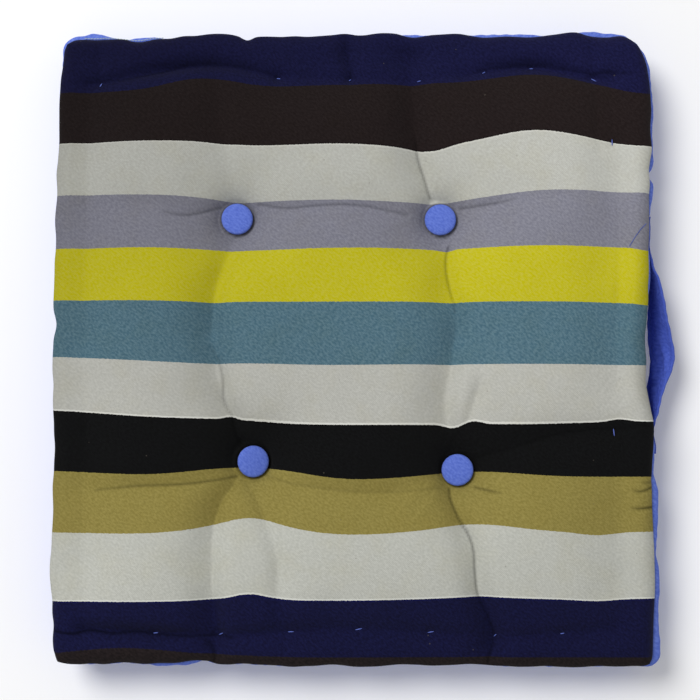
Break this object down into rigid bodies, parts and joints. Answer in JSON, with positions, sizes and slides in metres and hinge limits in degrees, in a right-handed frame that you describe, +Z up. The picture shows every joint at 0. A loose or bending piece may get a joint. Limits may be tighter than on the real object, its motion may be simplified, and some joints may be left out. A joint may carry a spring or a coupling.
{
  "type": "outdoor chair pad",
  "caption": "Square button-tufted chair pad with a striped canvas top, rolled stitched edge, plain side band and a cloth carry handle.",
  "frame": {"origin": "middle of the underside, on the plane that it rests on", "axes": "+Z up out of the tufted face, +X to the side with the carry handle, +Y to the back edge of the pad"},
  "size_m": [0.4509, 0.4617, 0.0573],
  "materials": {
    "striped_canvas": "heavy plain-weave canvas in broad stripes across the pad: navy, brown, pale grey, grey, mustard, teal, black and olive",
    "blue_canvas": "plain-weave canvas, cornflower blue, matt",
    "button_cloth": "plain-weave canvas, cornflower blue, gathered tight over a domed button shell"
  },
  "bodies": {
    "root": {"pad": "striped_canvas", "side_band": "blue_canvas", "base_panel": "blue_canvas", "carry_handle": "blue_canvas", "button_upper_left": "button_cloth", "button_upper_right": "button_cloth", "button_lower_left": "button_cloth", "button_lower_right": "button_cloth"}
  },
  "joints": []
}
